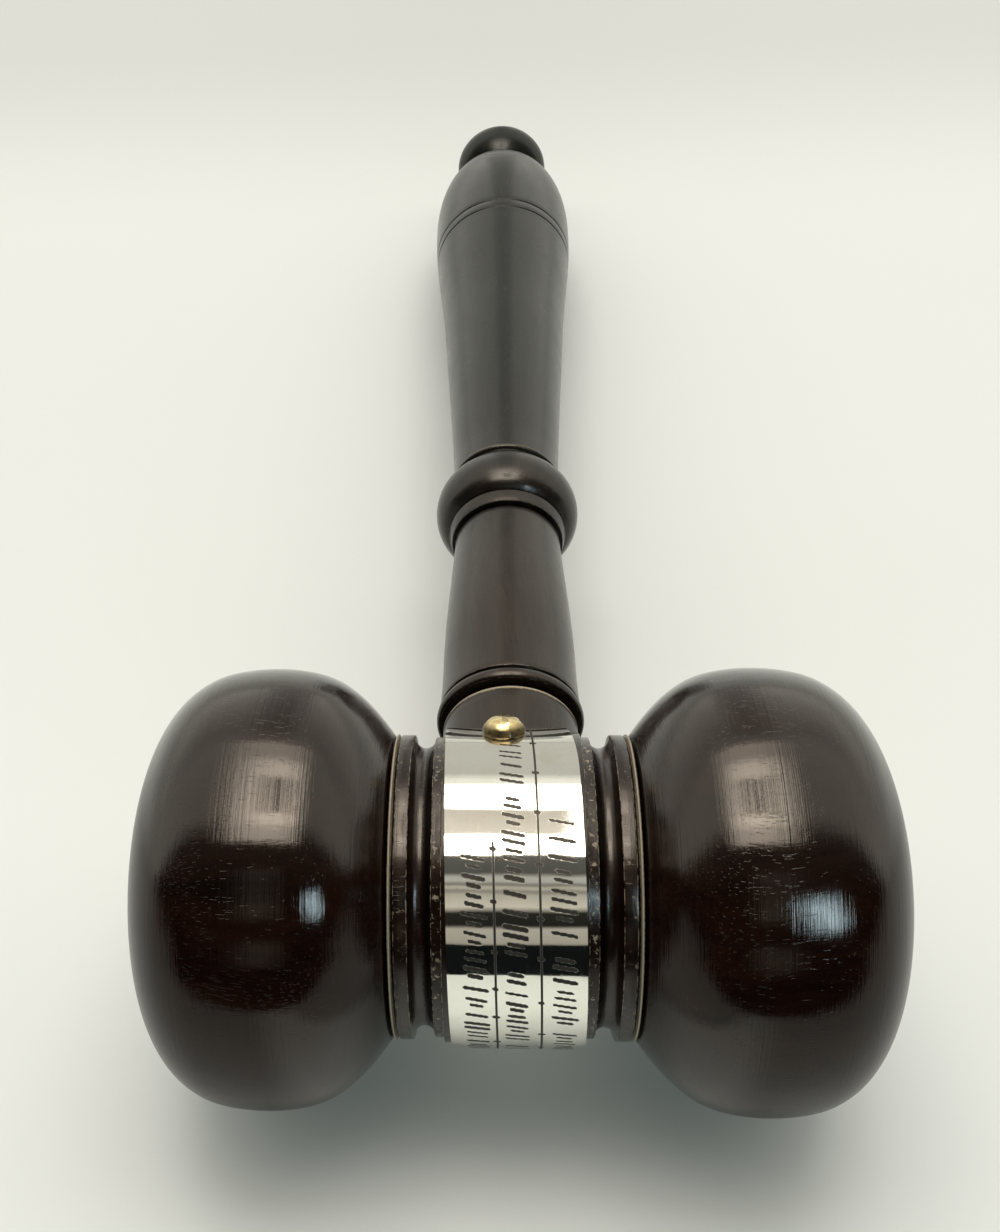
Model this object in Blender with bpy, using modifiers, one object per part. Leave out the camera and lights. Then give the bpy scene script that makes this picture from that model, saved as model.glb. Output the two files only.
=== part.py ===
"""Turned hardwood gavel with a silver plate bent round its head, lying on a flat surface.

The head is one turning about X, the handle one turning at right angles to it. The gavel lies
on small flats under its two lobes and its grip, so the handle slopes down a little.
Metres, +Z up. The origin is under the middle of the whole gavel, on the surface it lies on.
"""
from math import asin, atan2, cos, hypot, pi, radians, sin, sqrt

import bmesh
import bpy

MM = 0.001

# Head, its whole length, then lengths from the middle outwards along its axis
HEAD_LENGTH = 96.7 * MM
BARREL_WIDTH = 17.5 * MM
RING_WIDTH = 1.2 * MM
COVE_WIDTH = 2.75 * MM
COLLAR_WIDTH = 2.15 * MM
LOBE_LINE_WIDTH = 0.4 * MM
LOBE_SHOULDER_LENGTH = 15.1 * MM

# Head, radii and depths
BARREL_RADIUS = 19.8 * MM
RING_STEP = 0.6 * MM
COVE_DEPTH = 1.45 * MM
COLLAR_STEP = 0.3 * MM
LOBE_LINE_DEPTH = 0.45 * MM
LOBE_RADIUS = 28.3 * MM
LOBE_SHOULDER_FULLNESS = 2.5
LOBE_END_FULLNESS = 2.75

# Handle, from the barrel to the end of the shaft
BOSS_HEIGHT = 7.4 * MM
BOSS_RADIUS = 9.8 * MM
BOSS_GROOVE_WIDTH = 0.9 * MM
BOSS_GROOVE_DEPTH = 1.7 * MM
BEAD_LENGTH = 2.0 * MM
BEAD_RADIUS = 10.8 * MM
EDGE_ROUND = 0.4 * MM
SHOULDER_LINE_WIDTH = 0.6 * MM
SHOULDER_LINE_DEPTH = 0.6 * MM
SHOULDER_RADIUS = 10.4 * MM
FLARE_LENGTH = 9.0 * MM
SHAFT_RADIUS_AT_FLARE = 10.1 * MM
SHAFT_LENGTH = 30.2 * MM
SHAFT_RADIUS_AT_RING = 8.8 * MM

# Handle, the ring
UNDERCUT_WIDTH = 0.7 * MM
UNDERCUT_DEPTH = 0.9 * MM
FILLET_LENGTH = 2.2 * MM
FILLET_RADIUS = 9.35 * MM
FILLET_RISE = 0.55 * MM
BEAD_LINE_WIDTH = 0.7 * MM
BIG_BEAD_LENGTH = 9.7 * MM
BIG_BEAD_RADIUS = 12.2 * MM
BIG_BEAD_ROOT_RADIUS = 9.2 * MM
RING_GROOVE_WIDTH = 2.55 * MM
RING_GROOVE_RADIUS = 8.95 * MM
RIDGE_WIDTH = 0.9 * MM
RIDGE_RADIUS = 9.65 * MM

# Handle, the grip, its end and the button
WAIST_LENGTH = 5.5 * MM
WAIST_RADIUS = 9.4 * MM
GRIP_HALF_LENGTH = 45.3 * MM
GRIP_MIDDLE_RADIUS = 12.0 * MM
GRIP_SWELL_RADIUS = 15.05 * MM
GRIP_WAIST_SLOPE = 0.045
GRIP_MIDDLE_SLOPE = 0.055
GRIP_LINE_TO_SWELL = 11.4 * MM
GRIP_LINE_SPACING = 3.0 * MM
GRIP_LINE_WIDTH = 0.6 * MM
GRIP_LINE_DEPTH = 0.3 * MM
END_DOME_LENGTH = 30.5 * MM
END_DOME_FULLNESS = 2.3
NECK_RADIUS = 6.0 * MM
NECK_LENGTH = 1.8 * MM
BUTTON_RADIUS = 10.75 * MM
BUTTON_LENGTH = 13.9 * MM

# Silver plate and its pins
PLATE_WIDTH = 16.5 * MM
PLATE_THICKNESS = 0.4 * MM
PLATE_END_ANGLE = radians(48)
PIN_SETBACK = 3.6 * MM
PIN_SIDESTEP = 1.1 * MM
PIN_HEAD_RADIUS = 2.8 * MM
PIN_HEAD_HEIGHT = 2.4 * MM
PIN_SHANK_RADIUS = 0.9 * MM
PIN_DEPTH_IN_WOOD = 5.0 * MM

# Fits and rest
FIT_GAP = 0.3 * MM
REST_FLAT_DEPTH = 0.15 * MM

# Facets round each turning
HEAD_FACETS = 48
HANDLE_FACETS = 30
PLATE_FACETS = 36
PIN_FACETS = 14
SEAT_FACETS = 72
BORE_FACETS = 10

# Modelling allowances: a step this long is a sharp corner, and a cutter overshoots by MARGIN
CORNER = 0.05 * MM
MERGE = 0.01 * MM
MARGIN = 2.0 * MM

PLATE_INNER_RADIUS = BARREL_RADIUS + FIT_GAP
PLATE_OUTER_RADIUS = PLATE_INNER_RADIUS + PLATE_THICKNESS
PIN_SEAT_RADIUS = PLATE_OUTER_RADIUS + FIT_GAP
PIN_ANGLE = PLATE_END_ANGLE + PIN_SETBACK / PLATE_OUTER_RADIUS


def clear_scene():
    """Remove every object that the file opens with."""
    for old in list(bpy.data.objects):
        bpy.data.objects.remove(old, do_unlink=True)


def new_collection(name):
    """A collection linked to the scene."""
    made = bpy.data.collections.new(name)
    bpy.context.scene.collection.children.link(made)
    return made


def new_material(name, colour, roughness, metallic):
    """A plain Principled material."""
    made = bpy.data.materials.new(name)
    made.use_nodes = True
    shader = made.node_tree.nodes["Principled BSDF"]
    shader.inputs["Base Color"].default_value = (*colour, 1)
    shader.inputs["Roughness"].default_value = roughness
    shader.inputs["Metallic"].default_value = metallic
    return made


def oval(middle, half_length, base, rise, start, end, count):
    """Points (along, radius) over an oval bulge, from start to end as shares of its half length."""
    shares = [start + (end - start) * step / count for step in range(count + 1)]
    return [(middle + half_length * share, base + rise * sqrt(1 - share * share)) for share in shares]


def full_curve(start, length, radius, fullness, last_turn, count):
    """Points from a crest of this radius towards the axis, a quarter turn on a full oval."""
    turns = [last_turn * step / count for step in range(count + 1)]
    power = 2 / fullness
    return [(start + length * sin(turn) ** power, radius * cos(turn) ** power) for turn in turns]


def smooth_radius(low, high, low_slope, high_slope, along):
    """Radius of the smooth curve that joins two (along, radius) points at the given slopes."""
    length = high[0] - low[0]
    t = (along - low[0]) / length
    return ((1 + 2 * t) * (1 - t) ** 2 * low[1] + t * (1 - t) ** 2 * length * low_slope
            + t * t * (3 - 2 * t) * high[1] + t * t * (t - 1) * length * high_slope)


def smooth_run(low, high, low_slope, high_slope, count):
    """Points on that curve, its first point included and its last one left out."""
    stations = [low[0] + (high[0] - low[0]) * step / count for step in range(count)]
    return [(along, smooth_radius(low, high, low_slope, high_slope, along)) for along in stations]


def fine_groove(middle, width, depth, radius):
    """Three points of a fine V groove."""
    return [(middle - width / 2, radius), (middle, radius - depth), (middle + width / 2, radius)]


def head_half():
    """Outline (along, radius) of half the head, from the barrel's middle to the striking end."""
    ring_radius = BARREL_RADIUS - RING_STEP
    collar_radius = ring_radius + COLLAR_STEP
    foot_radius = collar_radius - LOBE_LINE_DEPTH
    along = BARREL_WIDTH / 2
    points = [(along, BARREL_RADIUS), (along + CORNER, ring_radius)]
    along += RING_WIDTH
    for step in range(7):
        turn = pi * step / 6
        points.append((along + COVE_WIDTH * (1 - cos(turn)) / 2, ring_radius - COVE_DEPTH * sin(turn)))
    along += COVE_WIDTH
    points.append((along + CORNER, collar_radius))
    points.append((along + COLLAR_WIDTH, collar_radius))
    along += COLLAR_WIDTH + LOBE_LINE_WIDTH
    points.append((along, foot_radius))
    crest = along + LOBE_SHOULDER_LENGTH
    for share in (0.94, 0.86, 0.76, 0.63, 0.47, 0.28):
        drop = (LOBE_RADIUS - foot_radius) * share ** LOBE_SHOULDER_FULLNESS
        points.append((crest - LOBE_SHOULDER_LENGTH * share, LOBE_RADIUS - drop))
    points += full_curve(crest, HEAD_LENGTH / 2 - crest, LOBE_RADIUS, LOBE_END_FULLNESS, pi / 2, 9)
    points[-1] = (points[-1][0], 0.0)
    return points


def boss_and_bead(along):
    """The boss on the barrel, its groove, and the thin bead; along is the barrel's surface."""
    rim = along + BOSS_HEIGHT
    groove_end = rim + BOSS_GROOVE_WIDTH
    floor = BOSS_RADIUS - BOSS_GROOVE_DEPTH
    bead_end = groove_end + BEAD_LENGTH
    points = [(rim - EDGE_ROUND, BOSS_RADIUS), (rim, BOSS_RADIUS - EDGE_ROUND)]
    points += [(rim + CORNER, floor), (groove_end - CORNER, floor)]
    points += [(groove_end, BEAD_RADIUS - EDGE_ROUND), (groove_end + EDGE_ROUND, BEAD_RADIUS)]
    points += [(bead_end - EDGE_ROUND, BEAD_RADIUS), (bead_end, BEAD_RADIUS - EDGE_ROUND)]
    return points, bead_end


def shaft(along):
    """The fine groove, the flare and the tapering shaft."""
    start = along + SHOULDER_LINE_WIDTH
    points = [(along + SHOULDER_LINE_WIDTH / 2, SHOULDER_RADIUS - SHOULDER_LINE_DEPTH)]
    flare_end = (start + FLARE_LENGTH, SHAFT_RADIUS_AT_FLARE)
    shaft_end = (flare_end[0] + SHAFT_LENGTH, SHAFT_RADIUS_AT_RING)
    taper = (SHAFT_RADIUS_AT_RING - SHAFT_RADIUS_AT_FLARE) / SHAFT_LENGTH
    flare = (SHAFT_RADIUS_AT_FLARE - SHOULDER_RADIUS) / FLARE_LENGTH
    points += smooth_run((start, SHOULDER_RADIUS), flare_end, 2 * flare, 0, 4)
    points += smooth_run(flare_end, shaft_end, 0, taper, 3)
    points.append(shaft_end)
    return points, shaft_end[0]


def ring(along):
    """The undercut, the flat fillet, the big bead, the groove behind it and the fine ridge."""
    floor = SHAFT_RADIUS_AT_RING - UNDERCUT_DEPTH
    fillet = along + UNDERCUT_WIDTH
    points = [(along + CORNER, floor), (fillet - CORNER, floor), (fillet, FILLET_RADIUS)]
    points.append((fillet + FILLET_LENGTH, FILLET_RADIUS + FILLET_RISE))
    bead = fillet + FILLET_LENGTH + BEAD_LINE_WIDTH
    half = BIG_BEAD_LENGTH / 2
    rise = BIG_BEAD_RADIUS - BIG_BEAD_ROOT_RADIUS
    points += oval(bead + half, half, BIG_BEAD_ROOT_RADIUS, rise, -0.96, 0.98, 8)
    groove = bead + BIG_BEAD_LENGTH
    ridge = groove + RING_GROOVE_WIDTH
    points += [(groove, RING_GROOVE_RADIUS), (ridge, RING_GROOVE_RADIUS)]
    points += [(ridge + CORNER, RIDGE_RADIUS - EDGE_ROUND / 2), (ridge + RIDGE_WIDTH / 2, RIDGE_RADIUS)]
    return points, ridge + RIDGE_WIDTH


def grip(along):
    """The swelling grip up to its widest place, with the two incised lines."""
    start = (along, RIDGE_RADIUS - EDGE_ROUND / 4)
    waist = (along + WAIST_LENGTH, WAIST_RADIUS)
    middle = (waist[0] + GRIP_HALF_LENGTH, GRIP_MIDDLE_RADIUS)
    swell = (middle[0] + GRIP_HALF_LENGTH, GRIP_SWELL_RADIUS)
    points = smooth_run(start, waist, 0, 0, 2)
    points += smooth_run(waist, middle, GRIP_WAIST_SLOPE, GRIP_MIDDLE_SLOPE, 4)

    def radius_at(place):
        return smooth_radius(middle, swell, GRIP_MIDDLE_SLOPE, 0, place)

    second_line = swell[0] - GRIP_LINE_TO_SWELL
    first_line = second_line - GRIP_LINE_SPACING
    clear_run = first_line - GRIP_LINE_WIDTH - middle[0]
    points += [(place, radius_at(place)) for place in
               (middle[0], middle[0] + clear_run / 3, middle[0] + clear_run * 2 / 3)]
    for line in (first_line, second_line):
        points += fine_groove(line, GRIP_LINE_WIDTH, GRIP_LINE_DEPTH, radius_at(line))
    halfway = swell[0] - GRIP_LINE_TO_SWELL / 2
    points.append((halfway, radius_at(halfway)))
    return points, swell[0]


def end_and_button(along):
    """The domed end of the grip, the small neck and the button."""
    neck_turn = pi / 2 - asin((NECK_RADIUS / GRIP_SWELL_RADIUS) ** (END_DOME_FULLNESS / 2))
    points = full_curve(along, END_DOME_LENGTH, GRIP_SWELL_RADIUS, END_DOME_FULLNESS, neck_turn, 7)
    neck_end = points[-1][0] + NECK_LENGTH
    half = BUTTON_LENGTH / 2
    first_turn = asin(NECK_RADIUS / BUTTON_RADIUS)
    middle = neck_end + half * cos(first_turn)
    for step in range(8):
        turn = first_turn + (pi - first_turn) * step / 7
        points.append((middle - half * cos(turn), BUTTON_RADIUS * sin(turn)))
    points[-1] = (points[-1][0], 0.0)
    return points, middle


def handle_outline():
    """Outline of the handle from the head's axis to the button's tip, and the button's middle."""
    boss_points, along = boss_and_bead(BARREL_RADIUS)
    shaft_points, along = shaft(along)
    ring_points, along = ring(along)
    grip_points, along = grip(along)
    end_points, button_middle = end_and_button(along)
    root = [(0.0, 0.0), (0.0, BOSS_RADIUS)]
    return root + boss_points + shaft_points + ring_points + grip_points + end_points, button_middle


def rest_tilt(outline):
    """How far the handle slopes down when both the lobes and the handle touch the surface."""
    beyond = [(along, radius) for along, radius in outline if along > LOBE_RADIUS]
    return min(asin(LOBE_RADIUS / hypot(along, radius)) - atan2(radius, along)
               for along, radius in beyond)


def turned(name, outline, facets, finish, home, start=0.0, sweep=2 * pi):
    """A turning about local Z, from an outline of (along, radius) points, its top end first."""
    mesh = bpy.data.meshes.new(name)
    points = [(radius * cos(start), radius * sin(start), along) for along, radius in outline]
    mesh.from_pydata(points, [(index, index + 1) for index in range(len(points) - 1)], [])
    mesh.materials.append(finish)
    made = bpy.data.objects.new(name, mesh)
    home.objects.link(made)
    screw = made.modifiers.new("Turning", "SCREW")
    screw.angle = sweep
    screw.steps = facets
    screw.render_steps = facets
    screw.use_merge_vertices = True
    screw.merge_threshold = MERGE
    screw.use_smooth_shade = True
    return made


def cutter(name, home, bm):
    """An unseen object that other pieces are cut with."""
    mesh = bpy.data.meshes.new(name)
    bm.to_mesh(mesh)
    bm.free()
    made = bpy.data.objects.new(name, mesh)
    made.hide_render = True
    made.display_type = 'WIRE'
    home.objects.link(made)
    return made


def rod_cutter(name, home, radius, length, facets):
    """A cutting cylinder about local Z whose flats clear the radius."""
    bm = bmesh.new()
    outer = radius / cos(pi / facets)
    bmesh.ops.create_cone(bm, cap_ends=True, segments=facets, radius1=outer, radius2=outer,
                          depth=length)
    return cutter(name, home, bm)


def surface_cutter(home, reach):
    """A slab whose top is the surface that the gavel lies on."""
    bm = bmesh.new()
    bmesh.ops.create_cube(bm, size=2 * reach)
    bmesh.ops.translate(bm, verts=bm.verts, vec=(0, 0, -reach))
    return cutter("resting_surface", home, bm)


def cut(piece, tool):
    """Take the tool's volume off a piece."""
    boolean = piece.modifiers.new("Cut by " + tool.name, "BOOLEAN")
    boolean.operation = 'DIFFERENCE'
    boolean.solver = 'EXACT'
    boolean.object = tool


def make_head(home, finish):
    """The head, about X."""
    half = head_half()
    outline = half[::-1] + [(-along, radius) for along, radius in half]
    head = turned("head", outline, HEAD_FACETS, finish, home)
    head.rotation_euler = (0, pi / 2, 0)
    return head


def make_handle(home, outline, finish):
    """The handle, about Y and square to the head."""
    handle = turned("handle", outline[::-1], HANDLE_FACETS, finish, home)
    handle.rotation_euler = (-pi / 2, 0, 0)
    return handle


def make_plate(home, finish):
    """The silver plate: an open strip round the barrel, thickened outwards."""
    edge = PLATE_WIDTH / 2
    outline = [(edge, PLATE_INNER_RADIUS), (-edge, PLATE_INNER_RADIUS)]
    plate = turned("silver_band", outline, PLATE_FACETS, finish, home,
                   start=pi / 2 + PLATE_END_ANGLE, sweep=2 * (pi - PLATE_END_ANGLE))
    thick = plate.modifiers.new("Thickness", "SOLIDIFY")
    thick.thickness = PLATE_THICKNESS
    thick.offset = 1
    thick.use_even_offset = True
    plate.rotation_euler = (0, pi / 2, 0)
    return plate


def make_pin(name, home, finish, angle):
    """A domed pin with its shank, pointing out of the barrel at this angle from the handle."""
    depth = PIN_SEAT_RADIUS - BARREL_RADIUS + PIN_DEPTH_IN_WOOD
    turns = [pi / 2 * step / 5 for step in range(6)]
    outline = [(PIN_HEAD_HEIGHT * cos(turn), PIN_HEAD_RADIUS * sin(turn)) for turn in turns]
    outline[-1] = (0.0, PIN_HEAD_RADIUS)
    outline += [(0.0, PIN_SHANK_RADIUS), (-depth, PIN_SHANK_RADIUS), (-depth, 0.0)]
    pin = turned(name, outline, PIN_FACETS, finish, home)
    pin.rotation_euler = (angle - pi / 2, 0, 0)
    pin.location = (-PIN_SIDESTEP, PIN_SEAT_RADIUS * cos(angle), PIN_SEAT_RADIUS * sin(angle))
    return pin


def make_pin_bore(name, home, angle):
    """The cutter for a pin's hole through the plate and into the wood."""
    floor = BARREL_RADIUS - PIN_DEPTH_IN_WOOD - FIT_GAP
    top = PIN_SEAT_RADIUS + MARGIN
    bore = rod_cutter(name, home, PIN_SHANK_RADIUS + FIT_GAP, top - floor, BORE_FACETS)
    bore.rotation_euler = (angle - pi / 2, 0, 0)
    middle = (top + floor) / 2
    bore.location = (-PIN_SIDESTEP, middle * cos(angle), middle * sin(angle))
    return bore


def build_gavel():
    """Model every piece, cut the seat, the bores and the flats, and lay the gavel down."""
    clear_scene()
    home = new_collection("gavel")
    tools = new_collection("cutters")
    dark_wood = new_material("polished_dark_hardwood", (0.045, 0.022, 0.016), 0.18, 0)
    grey_wood = new_material("satin_brown_hardwood", (0.085, 0.062, 0.050), 0.35, 0)
    silver = new_material("bright_silver", (0.86, 0.85, 0.82), 0.08, 1)
    brass = new_material("polished_brass", (0.83, 0.66, 0.27), 0.2, 1)

    outline, button_middle = handle_outline()
    tilt = rest_tilt(outline)
    front = LOBE_RADIUS
    back = button_middle * cos(tilt) + hypot(BUTTON_LENGTH / 2 * cos(tilt), BUTTON_RADIUS * sin(tilt))
    pose = bpy.data.objects.new("gavel_lying", None)
    home.objects.link(pose)
    pose.location = (0, (front - back) / 2, LOBE_RADIUS - REST_FLAT_DEPTH)
    pose.rotation_euler = (-tilt, 0, 0)

    head = make_head(home, dark_wood)
    handle = make_handle(home, outline, grey_wood)
    plate = make_plate(home, silver)
    seat = rod_cutter("barrel_seat", tools, BARREL_RADIUS + FIT_GAP, 2 * (BOSS_RADIUS + MARGIN),
                      SEAT_FACETS)
    seat.rotation_euler = (0, pi / 2, 0)
    placed = [head, handle, plate, seat]
    for name, angle in (("upper", PIN_ANGLE), ("lower", -PIN_ANGLE)):
        pin = make_pin("band_pin_" + name, home, brass, angle)
        bore = make_pin_bore("pin_bore_" + name, tools, angle)
        cut(head, bore)
        cut(plate, bore)
        placed += [pin, bore]
    for piece in placed:
        piece.parent = pose

    surface = surface_cutter(tools, front + back)
    cut(handle, seat)
    cut(handle, surface)
    cut(head, surface)


build_gavel()
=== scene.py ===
"""Turned hardwood gavel with an engraved silver plate round its head, lying on a pale surface."""
import random
from math import asin, atan2, cos, hypot, pi, radians, sin, sqrt

import bmesh
import bpy
from bpy.props import FloatProperty, FloatVectorProperty, IntProperty, PointerProperty
from mathutils import Matrix, Vector, noise


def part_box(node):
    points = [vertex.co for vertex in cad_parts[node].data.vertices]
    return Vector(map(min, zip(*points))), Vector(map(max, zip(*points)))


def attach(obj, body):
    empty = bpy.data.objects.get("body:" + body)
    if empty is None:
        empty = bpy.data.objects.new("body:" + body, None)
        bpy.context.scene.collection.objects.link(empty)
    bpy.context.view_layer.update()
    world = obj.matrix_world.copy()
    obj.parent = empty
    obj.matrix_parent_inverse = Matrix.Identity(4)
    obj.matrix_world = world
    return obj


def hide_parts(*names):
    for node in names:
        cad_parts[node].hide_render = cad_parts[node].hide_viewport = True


bl_info = {
    "name": "Turned Gavel",
    "version": (1, 0, 0),
    "blender": (4, 5, 0),
    "location": "3D View > Sidebar > Gavel",
    "description": "Models a turned hardwood gavel with an engraved silver plate round its head",
    "category": "Object",
}

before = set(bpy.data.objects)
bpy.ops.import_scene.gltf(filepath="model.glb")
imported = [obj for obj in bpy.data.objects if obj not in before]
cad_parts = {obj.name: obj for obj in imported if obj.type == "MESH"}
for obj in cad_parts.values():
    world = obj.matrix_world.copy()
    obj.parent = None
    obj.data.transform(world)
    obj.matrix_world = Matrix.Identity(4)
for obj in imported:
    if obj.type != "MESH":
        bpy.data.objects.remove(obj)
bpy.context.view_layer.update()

MM = 0.001
PLATE_GAP = 0.3 * MM  # between the barrel and the plate, as in the CAD
SEAT_CLEARANCE = 0.03 * MM  # between the barrel and what lies on it in the scene
GRIP_WAIST = 5.5 * MM  # from the grip's start to its waist
GRIP_LINES = (14.4 * MM, 11.4 * MM)  # from the grip's swell back to its two incised lines


def length(label, what, default):
    """A size in metres that shows as a length."""
    return FloatProperty(name=label, description=what, default=default, min=0.0, unit='LENGTH',
                         precision=5)


def tint(label, what, default):
    """A linear colour."""
    return FloatVectorProperty(name=label, description=what, default=default, min=0.0, max=1.0,
                               size=3, subtype='COLOR')


class GavelHeadSizes(bpy.types.PropertyGroup):
    """Sizes of the turned head."""

    lobe_radius: length("Lobe radius", "Radius of the two round lobes", 28.3 * MM)
    lobe_shoulder: length("Lobe shoulder", "From a lobe's foot to its widest place", 15.1 * MM)
    lobe_end: length("Lobe end", "Length from a lobe's widest place to its striking end", 18.0 * MM)
    collar_width: length("Collar width", "Width of the collar beside a lobe", 2.15 * MM)
    cove_width: length("Cove width", "Width of the hollow between collar and ring", 2.75 * MM)
    cove_depth: length("Cove depth", "Depth of that hollow below the ring", 1.45 * MM)
    ring_width: length("Ring width", "Width of the thin ring beside the barrel", 1.2 * MM)
    barrel_width: length("Barrel width", "Length of the plain barrel", 17.5 * MM)
    barrel_radius: length("Barrel radius", "Radius of the plain barrel", 19.8 * MM)
    facets: IntProperty(name="Facets", description="Steps round the head", default=192, min=32)


class GavelHandleSizes(bpy.types.PropertyGroup):
    """Sizes of the turned handle."""

    boss_height: length("Boss height", "Height of the boss above the barrel", 7.4 * MM)
    boss_radius: length("Boss radius", "Radius of the boss", 9.8 * MM)
    shaft_length: length("Shaft length", "Length of the shaft behind its flare", 30.2 * MM)
    bead_length: length("Bead length", "Length of the big bead on the ring", 9.7 * MM)
    bead_radius: length("Bead radius", "Radius of the big bead", 12.2 * MM)
    grip_half: length("Half grip", "Half the length from the grip's waist to its swell", 45.3 * MM)
    swell_radius: length("Swell radius", "Largest radius of the grip", 15.05 * MM)
    dome_length: length("Dome length", "Length of the grip's domed end", 30.5 * MM)
    button_radius: length("Button radius", "Radius of the button at the end", 10.75 * MM)
    button_length: length("Button length", "Length of that button", 13.9 * MM)
    facets: IntProperty(name="Facets", description="Steps round the handle", default=144, min=32)


class GavelPlateSizes(bpy.types.PropertyGroup):
    """Sizes of the silver plate, its engraving and its pins."""

    width: length("Plate width", "Width of the plate along the head", 16.5 * MM)
    thickness: length("Plate thickness", "Thickness of the silver", 0.4 * MM)
    end_angle: FloatProperty(name="End angle", description="Angle from the handle to each end",
                             default=radians(48), subtype='ANGLE')
    skew: length("Skew", "How far the plate wanders sideways in a quarter turn", 0.5 * MM)
    end_taper: length("End taper", "How far the right edge draws in at the upper end", 0.9 * MM)
    stroke_depth: length("Stroke depth", "Depth of the engraved strokes", 0.010 * MM)
    pin_radius: length("Pin radius", "Radius of a pin's domed head", 2.8 * MM)
    pin_height: length("Pin height", "Height of a pin's domed head", 2.25 * MM)
    pin_setback: length("Pin setback", "From the plate's end to a pin", 3.6 * MM)
    pin_sidestep: length("Pin sidestep", "How far a pin sits left of the middle", 1.1 * MM)
    stations: IntProperty(name="Stations", description="Steps of the sheet round the barrel",
                          default=600, min=60)


class GavelFinishes(bpy.types.PropertyGroup):
    """Colours of the wood and the metals."""

    head_dark: tint("Head, dark grain", "Darkest wood of the head", (0.0032, 0.0011, 0.0007))
    head_light: tint("Head, light grain", "Lightest wood of the head", (0.0150, 0.0052, 0.003))
    handle_dark: tint("Handle, dark grain", "Darkest wood of the handle", (0.0042, 0.0030, 0.0024))
    handle_light: tint("Handle, light grain", "Lightest wood of the handle",
                       (0.0240, 0.0142, 0.0098))
    end_dark: tint("Far end, dark grain", "Darkest wood of the far grip", (0.0052, 0.0056, 0.0046))
    end_light: tint("Far end, light grain", "Lightest wood of the far grip",
                    (0.0105, 0.0114, 0.0094))
    # Pale wear along edges and lines, which also stands in for a painted highlight there
    edge_wear_and_highlight: tint("Worn edge", "Wood where an edge has rubbed pale", (0.48, 0.39, 0.28))
    silver: tint("Silver", "Polished silver", (0.95, 0.94, 0.86))
    tarnish: tint("Tarnish", "Dark silver inside the strokes", (0.035, 0.030, 0.024))
    brass: tint("Brass", "Polished brass", (0.86, 0.74, 0.42))


class GavelStudio(bpy.types.PropertyGroup):
    """The pose, the camera and the light."""

    slope: FloatProperty(name="Handle slope", description="How far the handle slopes down",
                         default=0.0712663, subtype='ANGLE')
    flat_depth: length("Flat depth", "Depth of the small flats it lies on", 0.15 * MM)
    ceiling_power: FloatProperty(name="Overhead panel", description="Brightness of its reflection",
                                 default=9.5, min=0.0)
    fill_power: FloatProperty(name="Soft fill", description="Brightness of the light on the floor",
                              default=2.3, min=0.0)
    window_power: FloatProperty(name="Window", description="Brightness of the small cool highlight",
                                default=14.0, min=0.0)
    floor_colour: tint("Floor colour", "The pale surface", (0.87, 0.872, 0.845))


def lying():
    """The matrix that lays the square-built gavel on the surface."""
    low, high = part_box("head")
    scene = bpy.context.scene
    rise = scene.gavel_head.lobe_radius - scene.gavel_studio.flat_depth
    return (Matrix.Translation((0, (low[1] + high[1]) / 2, rise))
            @ Matrix.Rotation(-scene.gavel_studio.slope, 4, 'X'))


def plate_radius(sizes, barrel_radius):
    """Radius of the plate's outer face."""
    return barrel_radius + PLATE_GAP + sizes.thickness


# Outlines of the turnings, as (along, radius) points

def full_curve(start, reach, radius, fullness, last_turn, count):
    """Points from a crest of this radius towards the axis, a quarter turn on a full oval."""
    power = 2 / fullness
    turns = [last_turn * step / count for step in range(count + 1)]
    return [(start + reach * sin(turn) ** power, radius * cos(turn) ** power) for turn in turns]


def smooth_radius(low, high, low_slope, high_slope, along):
    """Radius of the smooth curve that joins two (along, radius) points at the given slopes."""
    run = high[0] - low[0]
    t = (along - low[0]) / run
    return ((1 + 2 * t) * (1 - t) ** 2 * low[1] + t * (1 - t) ** 2 * run * low_slope
            + t * t * (3 - 2 * t) * high[1] + t * t * (t - 1) * run * high_slope)


def smooth_run(low, high, low_slope, high_slope, count):
    """Points on that curve, its first point included and its last one left out."""
    stations = [low[0] + (high[0] - low[0]) * step / count for step in range(count)]
    return [(along, smooth_radius(low, high, low_slope, high_slope, along)) for along in stations]


def oval(middle, half, base, rise, start, end, count):
    """Points over an oval bulge, from start to end as shares of its half length."""
    shares = [start + (end - start) * step / count for step in range(count + 1)]
    return [(middle + half * share, base + rise * sqrt(1 - share * share)) for share in shares]


def eased(radius_at, place, crest):
    """A point of a curve whose crest is blended into an even round."""
    reach, widest, raised = 9 * MM, 3.0 * MM, 0.14 * MM
    blend = max(0.0, 1 - ((place - crest) / reach) ** 2)
    spread = widest * blend
    weights = [(step / 4, 1 - (step / 9) ** 2) for step in range(-8, 9)]
    total = sum(weight for _, weight in weights)
    mean = sum(radius_at(place + spread * part) * weight for part, weight in weights) / total
    return (place, mean + raised * blend)


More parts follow.
